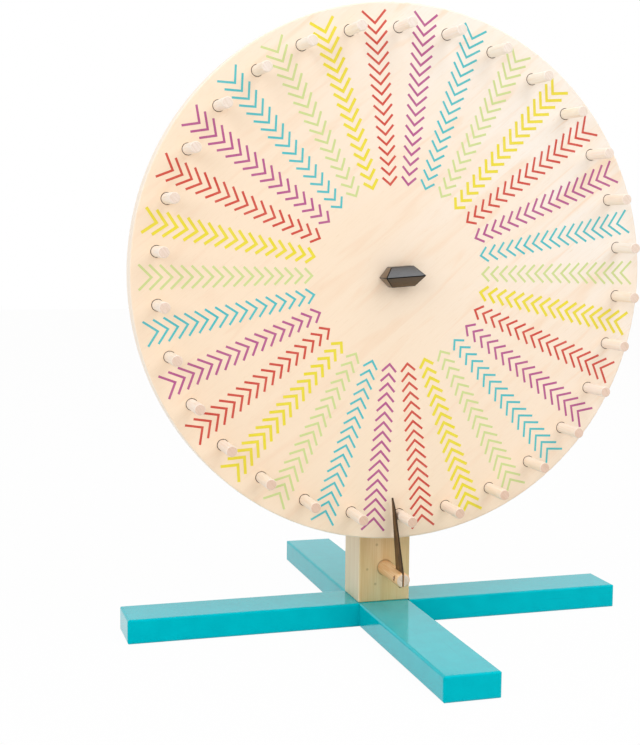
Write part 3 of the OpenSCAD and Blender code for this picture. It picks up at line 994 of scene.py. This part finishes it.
class PrizeWheelStand(bpy.types.PropertyGroup):
    """Cross foot, post and axle."""
    paint_hex: bpy.props.StringProperty(
        name="Turquoise", description="Colour of the foot's paint", default="#00b5c1")
    paint_light_hex: bpy.props.StringProperty(
        name="Light turquoise", description="Lighter patches of the paint", default="#00bbc6")
    paint_deep_hex: bpy.props.StringProperty(
        name="Deep turquoise", description="Paint that has sunk into the grain",
        default="#00aab6")
    gloss_hex: bpy.props.StringProperty(
        name="Gloss tint", description="Tint of the paint's head-on reflections",
        default="#00a8b8")
    pine_pale_hex: bpy.props.StringProperty(
        name="Pale pine", description="Early wood of the post", default="#f3d7ab")
    pine_mid_hex: bpy.props.StringProperty(
        name="Pine", description="Middle tone of the post", default="#efcfa0")
    pine_late_hex: bpy.props.StringProperty(
        name="Late pine", description="Late wood of the post", default="#e8c592")
    # painted light on the post's left side
    pine_lit_left_hex: bpy.props.StringProperty(
        name="Pine side", description="Painted light on the post's left", default="#f5e6cf")
    pine_fibre_hex: bpy.props.StringProperty(
        name="Pine fibres", description="Tint of the post's fibres", default="#f0e4d0")
    pine_cloud_hex: bpy.props.StringProperty(
        name="Pine clouds", description="Faint tint in broad patches of the post",
        default="#fbfcf0")
    # colour of the pin knots, and of the painted shade round the dowel
    knot_and_shade_hex: bpy.props.StringProperty(
        name="Knots", description="Colour of the pin knots", default="#8a6234")
    knot_size: bpy.props.FloatProperty(
        name="Knot size", description="Size of the pin knots", default=1.2 * MM,
        unit="LENGTH")
    ring_width: bpy.props.FloatProperty(
        name="Ring width", description="Width of one growth ring in the pine",
        default=8.5 * MM, unit="LENGTH")
    heart_x: bpy.props.FloatProperty(
        name="Heart across", description="Sideways place of the log's heart",
        default=34 * MM, unit="LENGTH")
    heart_y: bpy.props.FloatProperty(
        name="Heart depth", description="Place of the log's heart behind the post",
        default=62 * MM, unit="LENGTH")
    bolt_diameter: bpy.props.FloatProperty(
        name="Bolt", description="Diameter of the axle bolt", default=6 * MM,
        unit="LENGTH")
    washer_gap: bpy.props.FloatProperty(
        name="Washer gap", description="Gap between the bolt and the nut or a washer",
        default=0.05 * MM, unit="LENGTH")
    thread_pitch: bpy.props.FloatProperty(
        name="Thread pitch", description="Rise of the bolt's thread in one turn",
        default=1 * MM, unit="LENGTH")
    thread_length: bpy.props.FloatProperty(
        name="Thread length", description="Length of the bolt's thread", default=14 * MM,
        unit="LENGTH")
    zinc_hexes: bpy.props.StringProperty(
        name="Zinc", description="Two tones of the plated steel", default="#c3c6ca #aeb2b8")
    bronze_hexes: bpy.props.StringProperty(
        name="Bronze", description="Two tones of the bush", default="#b8935a #a37b42")
    brass_hexes: bpy.props.StringProperty(
        name="Brass", description="Two tones of the insert", default="#cdad62 #bb9646")


class PrizeWheelKnob(bpy.types.PropertyGroup):
    """Knob."""
    length: bpy.props.FloatProperty(
        name="Length", description="Length from tip to tip", default=31.4 * MM,
        unit="LENGTH")
    flat_length: bpy.props.FloatProperty(
        name="Flats", description="Length of the straight edges", default=17.8 * MM,
        unit="LENGTH")
    height: bpy.props.FloatProperty(
        name="Height", description="Height of the knob", default=15.2 * MM, unit="LENGTH")
    wall_depth: bpy.props.FloatProperty(
        name="Wall", description="Depth from the base to the slopes", default=9.8 * MM,
        unit="LENGTH")
    drop: bpy.props.FloatProperty(
        name="Drop", description="Drop of the knob's middle below the axle", default=1 * MM,
        unit="LENGTH")
    turn: bpy.props.FloatProperty(
        name="Turn", description="Turn anticlockwise as seen from the front",
        default=math.radians(4.4), subtype="ANGLE")
    edge_hex: bpy.props.StringProperty(
        name="Edges", description="Colour of the buffed edges", default="#0c0a09")
    edge_break: bpy.props.FloatProperty(
        name="Edge", description="Size of the broken edges", default=0.55 * MM,
        unit="LENGTH")
    insert_gap: bpy.props.FloatProperty(
        name="Insert gap", description="Gap round the threaded insert", default=0.05 * MM,
        unit="LENGTH")
    black_hex: bpy.props.StringProperty(
        name="Black", description="Colour of the acrylic", default="#302d2c")
    black_warm_hex: bpy.props.StringProperty(
        name="Warm black", description="Warmer clouds in the acrylic", default="#38332f")
    # painted reflections of the wood on the knob's lower and left faces, and in their gloss
    painted_reflection_down_hex: bpy.props.StringProperty(
        name="Underside", description="Painted wood reflection on the faces that look down",
        default="#33200f")
    painted_reflection_left_hex: bpy.props.StringProperty(
        name="Left side", description="Painted wood reflection on the faces that look left",
        default="#523c26")
    painted_wood_gloss_hex: bpy.props.StringProperty(
        name="Wood in the gloss", description="Tint of the reflections of the wood",
        default="#ffe6c8")


class PrizeWheelFlapper(bpy.types.PropertyGroup):
    """Dowel, pin and leather strip."""
    blade_length: bpy.props.FloatProperty(
        name="Blade length", description="Length of the strip above the dowel",
        default=54.1 * MM, unit="LENGTH")
    nose_length: bpy.props.FloatProperty(
        name="Nose", description="Length of the strip's narrow end", default=8.5 * MM,
        unit="LENGTH")
    shoulder_width: bpy.props.FloatProperty(
        name="Shoulder", description="Width of the strip where its nose begins",
        default=5.6 * MM, unit="LENGTH")
    tip_width: bpy.props.FloatProperty(
        name="Tip", description="Width of the strip's tip", default=1.1 * MM,
        unit="LENGTH")
    foot_set_back: bpy.props.FloatProperty(
        name="Foot corner", description="Set-back of the foot's lower corner",
        default=6 * MM, unit="LENGTH")
    foot_slope: bpy.props.FloatProperty(
        name="Foot slope", description="Rise of the foot's lower edge to the rear",
        default=1.4 * MM, unit="LENGTH")
    lean: bpy.props.FloatProperty(
        name="Lean", description="Lean of the strip to the left",
        default=math.radians(4.52), subtype="ANGLE")
    bend_length: bpy.props.FloatProperty(
        name="Bend", description="Length over which the strip starts to lean",
        default=1 * MM, unit="LENGTH")
    edge_soft: bpy.props.FloatProperty(
        name="Edge", description="Rounding of the strip's edges", default=0.2 * MM,
        unit="LENGTH")
    strip_rows: bpy.props.IntProperty(
        name="Rows", description="Faces along the strip", default=64, min=16, max=200)
    bend_root: bpy.props.FloatProperty(
        name="Bend root", description="Depth in the dowel where the strip starts to flex",
        default=8 * MM, unit="LENGTH")
    bend_reach: bpy.props.FloatProperty(
        name="Bend reach", description="Height above the dowel over which the strip flexes",
        default=58 * MM, unit="LENGTH")
    leather_hex: bpy.props.StringProperty(
        name="Leather", description="Middle brown of the strip", default="#6b4a1e")
    leather_light_hex: bpy.props.StringProperty(
        name="Light leather", description="Light streaks of the strip", default="#946f38")
    leather_deep_hex: bpy.props.StringProperty(
        name="Deep leather", description="Dark streaks of the strip", default="#4a3417")
    leather_cloud_hex: bpy.props.StringProperty(
        name="Leather clouds", description="Tint of the strip's darker patches",
        default="#b9a58c")
    leather_edge_hex: bpy.props.StringProperty(
        name="Leather edge", description="Burnished edge of the strip", default="#3b2a18")
    stain_width: bpy.props.FloatProperty(
        name="Stain width", description="Width of the dark mark round the pin",
        default=4.0 * MM, unit="LENGTH")
    stain_height: bpy.props.FloatProperty(
        name="Stain height", description="Height of the dark mark round the pin",
        default=5.0 * MM, unit="LENGTH")
    # colour of the stain round the pin, and of the painted shade on the dowel inside the post
    stain_and_shade_hex: bpy.props.StringProperty(
        name="Stain", description="Colour of the dark mark round the pin", default="#9a6a38")
    dowel_hexes: bpy.props.StringProperty(
        name="Dowel wood", description="Three colours of the dowel's side and its tint",
        default="#f4d3a8 #ecc18e #dca56a #f8e8d2")
    dowel_end_hexes: bpy.props.StringProperty(
        name="Dowel end grain", description="Three colours of the dowel's end",
        default="#e9d2bd #d9bea5 #bc997d")


class PrizeWheelStage(bpy.types.PropertyGroup):
    """Floor, lamps and camera."""
    floor_size: bpy.props.FloatProperty(
        name="Floor", description="Side of the floor", default=8.0, unit="LENGTH")
    floor_gap: bpy.props.FloatProperty(
        name="Floor gap", description="Gap between the floor and the foot", default=0.1 * MM,
        unit="LENGTH")
    floor_hex: bpy.props.StringProperty(
        name="Floor colour", description="Colour of the floor", default="#e6e6e6")
    floor_pale_hex: bpy.props.StringProperty(
        name="Pale floor", description="Colour of the floor's paler patches",
        default="#eaeaea")
    floor_glow: bpy.props.FloatProperty(
        name="Floor glow", description="Share of plain white in the floor as the camera sees it",
        default=0.97, min=0.0, max=1.0, subtype="FACTOR")
    ambient: bpy.props.FloatProperty(
        name="Ambient", description="Strength of the light from all round", default=0.58)
    key_power: bpy.props.FloatProperty(
        name="Key lamp", description="Power of the large lamp above and in front",
        default=18.9, subtype="POWER")
    fill_power: bpy.props.FloatProperty(
        name="Fill lamp", description="Power of the lamp on the left", default=19.5,
        subtype="POWER")
    shade_hex: bpy.props.StringProperty(
        name="Shade", description="Colour of the light from all round, which fills the shade",
        default="#fff7ef")
    lamp_hex: bpy.props.StringProperty(
        name="Lamps", description="Colour of the lamps", default="#ecf5ff")
    top_power: bpy.props.FloatProperty(
        name="Top lamp", description="Power of the lamp straight above", default=10.6,
        subtype="POWER")
    lamp_size: bpy.props.FloatProperty(
        name="Lamp size", description="Side of each square lamp", default=1.8, unit="LENGTH")
    lamp_aim: bpy.props.FloatVectorProperty(
        name="Lamp aim", description="Place that the lamps point at", subtype="TRANSLATION",
        default=(0.0, -0.04, 0.24))
    camera_place: bpy.props.FloatVectorProperty(
        name="Camera", description="Place of the camera", subtype="TRANSLATION",
        default=(-0.34338, -1.04135, 0.31066))
    camera_turn: bpy.props.FloatVectorProperty(
        name="Camera turn", description="Turn of the camera", subtype="EULER",
        default=tuple(math.radians(a) for a in (84.3327, -0.8418, -18.3899)))
    lens: bpy.props.FloatProperty(
        name="Lens", description="Focal length in millimetres on a 36 mm sensor",
        default=68.25, subtype="DISTANCE_CAMERA")
    shift: bpy.props.FloatVectorProperty(
        name="Shift", description="Sideways and upward shift of the lens", size=2,
        default=(-0.0876, -0.0101))


class PRIZEWHEEL_OT_foot(bpy.types.Operator):
    """Paints the two bars of the cross foot and finishes the screws under it"""
    bl_idname = "prize_wheel.foot"
    bl_label = "Cross foot"

    def execute(self, context):
        settings = context.scene.prize_wheel_stand
        for node, way, grain in (
            ("foot_bar_front_back", "front to back", (1.5, 60, 1.5)),
            ("foot_bar_left_right", "left to right", (60, 1.5, 1.5)),
        ):
            name = f"turquoise gloss paint, grain {way}"
            repaint([node], paint_material(name, settings, grain))
        repaint(["base_screws"], metal_material(
            "zinc-plated screw steel", settings.zinc_hexes.split(), (0.4, 0.4, 3), 0.34))
        return {"FINISHED"}


class PRIZEWHEEL_OT_post(bpy.types.Operator):
    """Finishes the pine post"""
    bl_idname = "prize_wheel.post"
    bl_label = "Post"

    def execute(self, context):
        repaint(["post"], pine_material(context.scene.prize_wheel_stand))
        return {"FINISHED"}


class PRIZEWHEEL_OT_axle(bpy.types.Operator):
    """Makes the axle bolt, its nut and washers, and finishes the sleeve and the bush"""
    bl_idname = "prize_wheel.axle"
    bl_label = "Axle"

    def execute(self, context):
        settings = context.scene.prize_wheel_stand
        zinc = metal_material(
            "zinc-plated bolt steel", settings.zinc_hexes.split(), (0.4, 3, 0.4), 0.32)
        bore = settings.bolt_diameter / 2 + settings.washer_gap
        made = [("axle_bolt", bolt_mesh(settings)), ("clamp_nut", nut_mesh("clamp_nut", bore))]
        for node in ("back_washer", "clamp_washer", "front_washer"):
            made.append((node, washer_mesh(node, bore)))
        for node, mesh in made:
            piece = new_piece(f"{node}_finished", mesh, zinc, math.radians(30))
            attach(piece, "stand")
            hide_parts(node)
        repaint(["axle_sleeve"], metal_material(
            "ground sleeve steel", settings.zinc_hexes.split(), (0.3, 20, 0.3), 0.22))
        repaint(["hub_bush"], metal_material(
            "sintered bronze", settings.bronze_hexes.split(), (0.5, 0.5, 0.5), 0.42))
        return {"FINISHED"}


class PRIZEWHEEL_OT_board(bpy.types.Operator):
    """Finishes the birch board and its pegs"""
    bl_idname = "prize_wheel.board"
    bl_label = "Board and pegs"

    def execute(self, context):
        settings = context.scene.prize_wheel_board
        repaint(["wheel_disc"], board_material(settings))
        # painted shade on the pegs: dark down in their holes, and browner towards the board's
        # bottom
        repaint(PEG_NAMES, rod_wood_material(
            "turned birch peg", settings.peg_hexes.split(), settings.peg_end_hexes.split(),
            FRONT, settings.hole_wall_shade_hex,
            painted_low_shade=(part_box("peg_01")[1].z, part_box("peg_16")[0].z, settings.peg_painted_low_shade_hex)))
        return {"FINISHED"}


class PRIZEWHEEL_OT_chevrons(bpy.types.Operator):
    """Prints the columns of chevrons on the board, one piece for each ink"""
    bl_idname = "prize_wheel.chevrons"
    bl_label = "Chevrons"

    def execute(self, context):
        settings = context.scene.prize_wheel_print
        board = context.scene.prize_wheel_board
        tree = chevron_tree()
        sockets = {
            item.name: item.identifier for item in tree.interface.items_tree
            if item.in_out == "INPUT"
        }
        step = math.tau / (settings.columns * len(COLUMN_INKS))
        for order, ink in enumerate(COLUMN_INKS):
            piece = bpy.data.objects.new(f"chevrons_{ink}", bpy.data.meshes.new("empty print"))
            context.scene.collection.objects.link(piece)
            modifier = piece.modifiers.new("chevrons", "NODES")
            modifier.node_group = tree
            for label, _, key in CHEVRON_INPUTS:
                if key:
                    modifier[sockets[label]] = getattr(settings, key)
            modifier[sockets["First Angle"]] = settings.first_angle + order * step
            modifier[sockets["Column Step"]] = step * len(COLUMN_INKS)
            modifier[sockets["Stroke"]] = settings.strokes[order]
            modifier[sockets["Hub"]] = (HUB.x, FRONT, HUB.z)
            ink_hex = getattr(settings, f"{ink}_hex")
            modifier[sockets["Ink"]] = ink_material(ink.replace("_", " "), ink_hex, board)
            depsgraph = context.evaluated_depsgraph_get()
            mesh = bpy.data.meshes.new_from_object(piece.evaluated_get(depsgraph))
            piece.modifiers.clear()
            piece.data = mesh
            if not mesh.polygons:
                raise RuntimeError(f"the {ink} columns came out empty")
            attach(piece, "wheel")
        return {"FINISHED"}


class PRIZEWHEEL_OT_knob(bpy.types.Operator):
    """Makes the polished knob and finishes its insert"""
    bl_idname = "prize_wheel.knob"
    bl_label = "Knob"

    def execute(self, context):
        settings = context.scene.prize_wheel_knob
        piece = new_piece("knob_polished", knob_mesh(settings), knob_material(settings),
                          math.radians(25))
        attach(piece, "knob")
        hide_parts("knob")
        repaint(["knob_insert"], metal_material(
            "turned brass", context.scene.prize_wheel_stand.brass_hexes.split(), (0.4, 4, 0.4),
            0.28))
        return {"FINISHED"}


class PRIZEWHEEL_OT_flapper(bpy.types.Operator):
    """Makes the leather strip and finishes the dowel and the pin that hold it"""
    bl_idname = "prize_wheel.flapper"
    bl_label = "Flapper"

    def execute(self, context):
        settings = context.scene.prize_wheel_flapper
        leather = leather_material(settings)
        strip = new_piece("flapper_strip", strip_mesh(settings), leather, math.radians(40))
        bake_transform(strip)
        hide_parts("flapper_foot", "flapper_blade")
        pin = middle("flapper_pin")
        soaked = (settings.stain_width / 2, settings.stain_width / 2, settings.stain_height / 2)
        repaint(["flapper_dowel"], rod_wood_material(
            "turned beech dowel", settings.dowel_hexes.split(), settings.dowel_end_hexes.split(),
            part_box("post")[0].y, settings.stain_and_shade_hex,
            ((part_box("flapper_dowel")[0].x, pin.y, pin.z), soaked, settings.stain_and_shade_hex)))
        repaint(["flapper_pin"], leather)
        return {"FINISHED"}


# Each lamp's name, place and power setting
LAMPS = (
    ("key lamp", (0.9, -1.5, 1.8), "key_power"),
    ("fill lamp", (-1.65, -1.2, 1.3), "fill_power"),
    ("top lamp", (0.1, 0.0, 2.0), "top_power"),
)


class PRIZEWHEEL_OT_stage(bpy.types.Operator):
    """Sets the floor, the lamps, the white surroundings and the camera"""
    bl_idname = "prize_wheel.stage"
    bl_label = "Stage"

    def execute(self, context):
        settings = context.scene.prize_wheel_stage
        self.lay_floor(settings)
        self.light_world(context.scene, settings)
        for name, place, key in LAMPS:
            self.hang_lamp(name, place, getattr(settings, key), settings)
        camera_data = bpy.data.cameras.new("camera")
        camera_data.sensor_width = 36.0
        camera_data.lens = settings.lens
        camera_data.shift_x, camera_data.shift_y = settings.shift
        camera = bpy.data.objects.new("camera", camera_data)
        camera.location = settings.camera_place
        camera.rotation_euler = Euler(settings.camera_turn, "XYZ")
        context.scene.collection.objects.link(camera)
        context.scene.camera = camera
        context.scene.view_settings.view_transform = "Standard"
        return {"FINISHED"}

    def lay_floor(self, settings):
        """A plain pale floor that the camera sees nearly white, with the part's soft shadow."""
        material, tree = new_material("plain pale floor")
        patches = stretched_noise(tree, (50, 50, 50), detail=1.0)
        tone = add_node(
            tree, "ShaderNodeValToRGB", {"Fac": patches},
            stops=[(0.0, settings.floor_hex), (1.0, settings.floor_pale_hex)],
        )
        matt = add_node(tree, "ShaderNodeBsdfDiffuse", {"Color": tone})
        glow = add_node(tree, "ShaderNodeEmission", {"Strength": 1.0})
        share = add_node(
            tree, "ShaderNodeMath",
            {0: self.seen_by(tree, "Is Camera Ray", "Is Glossy Ray"), 1: settings.floor_glow},
            operation="MULTIPLY",
        )
        mixed = add_node(tree, "ShaderNodeMixShader", {0: share, 1: matt, 2: glow})
        add_node(tree, "ShaderNodeOutputMaterial", {"Surface": mixed})
        half = settings.floor_size / 2
        level = CAD_LOW.z - settings.floor_gap
        corners = [(-half, -half), (half, -half), (half, half), (-half, half)]
        mesh = bpy.data.meshes.new("floor")
        mesh.from_pydata([(x, y, level) for x, y in corners], [], [(0, 1, 2, 3)])
        new_piece("floor", mesh, material)

    def light_world(self, scene, settings):
        """Even light from all round, and plain white where the camera or gloss sees it."""
        world = bpy.data.worlds.new("white surroundings")
        world.use_nodes = True
        tree = world.node_tree
        tree.nodes.clear()
        seen = self.seen_by(tree, "Is Camera Ray", "Is Glossy Ray", "Is Transmission Ray")
        soft = add_node(tree, "ShaderNodeBackground", {
            "Color": settings.shade_hex, "Strength": settings.ambient,
        })
        white = add_node(tree, "ShaderNodeBackground", {"Color": "#ffffff", "Strength": 1.0})
        mixed = add_node(tree, "ShaderNodeMixShader", {0: seen, 1: soft, 2: white})
        add_node(tree, "ShaderNodeOutputWorld", {"Surface": mixed})
        scene.world = world

    def seen_by(self, tree, *rays):
        """1 for the named kinds of ray, and 0 for the rays that carry light to the part."""
        path = add_node(tree, "ShaderNodeLightPath")
        seen = path.outputs[rays[0]]
        for ray in rays[1:]:
            seen = add_node(
                tree, "ShaderNodeMath", {0: seen, 1: path.outputs[ray]}, operation="MAXIMUM"
            )
        return seen

    def hang_lamp(self, name, place, power, settings):
        """A large square lamp that points at the part."""
        lamp = bpy.data.lights.new(name, "AREA")
        lamp.shape = "SQUARE"
        lamp.size = settings.lamp_size
        lamp.energy = power
        lamp.color = linear(settings.lamp_hex)[:3]
        hung = bpy.data.objects.new(name, lamp)
        hung.location = place
        aim = Vector(settings.lamp_aim) - Vector(place)
        hung.rotation_euler = aim.to_track_quat("-Z", "Y").to_euler()
        bpy.context.scene.collection.objects.link(hung)


class PRIZEWHEEL_PT_sidebar(bpy.types.Panel):
    """Lists the pieces of the prize wheel"""
    bl_label = "Prize wheel"
    bl_idname = "PRIZEWHEEL_PT_sidebar"
    bl_space_type = "VIEW_3D"
    bl_region_type = "UI"
    bl_category = "Prize wheel"

    def draw(self, context):
        for operator in OPERATORS:
            self.layout.operator(operator.bl_idname)
        for key in SETTINGS:
            box = self.layout.box()
            group = getattr(context.scene, key)
            for name in group.bl_rna.properties.keys():
                if name not in ("rna_type", "name"):
                    box.prop(group, name)


SETTINGS = {
    "prize_wheel_board": PrizeWheelBoard,
    "prize_wheel_print": PrizeWheelPrint,
    "prize_wheel_stand": PrizeWheelStand,
    "prize_wheel_knob": PrizeWheelKnob,
    "prize_wheel_flapper": PrizeWheelFlapper,
    "prize_wheel_stage": PrizeWheelStage,
}
OPERATORS = (
    PRIZEWHEEL_OT_foot, PRIZEWHEEL_OT_post, PRIZEWHEEL_OT_axle, PRIZEWHEEL_OT_board,
    PRIZEWHEEL_OT_chevrons, PRIZEWHEEL_OT_knob, PRIZEWHEEL_OT_flapper, PRIZEWHEEL_OT_stage,
)


def register():
    for key, group in SETTINGS.items():
        bpy.utils.register_class(group)
        setattr(bpy.types.Scene, key, bpy.props.PointerProperty(type=group))
    for operator in OPERATORS:
        bpy.utils.register_class(operator)
    bpy.utils.register_class(PRIZEWHEEL_PT_sidebar)


def unregister():
    bpy.utils.unregister_class(PRIZEWHEEL_PT_sidebar)
    for operator in reversed(OPERATORS):
        bpy.utils.unregister_class(operator)
    for key, group in SETTINGS.items():
        delattr(bpy.types.Scene, key)
        bpy.utils.unregister_class(group)


def main():
    register()
    bpy.ops.prize_wheel.foot()
    bpy.ops.prize_wheel.post()
    bpy.ops.prize_wheel.axle()
    bpy.ops.prize_wheel.board()
    bpy.ops.prize_wheel.chevrons()
    bpy.ops.prize_wheel.knob()
    bpy.ops.prize_wheel.flapper()
    bpy.ops.prize_wheel.stage()


if __name__ == "__main__":
    main()
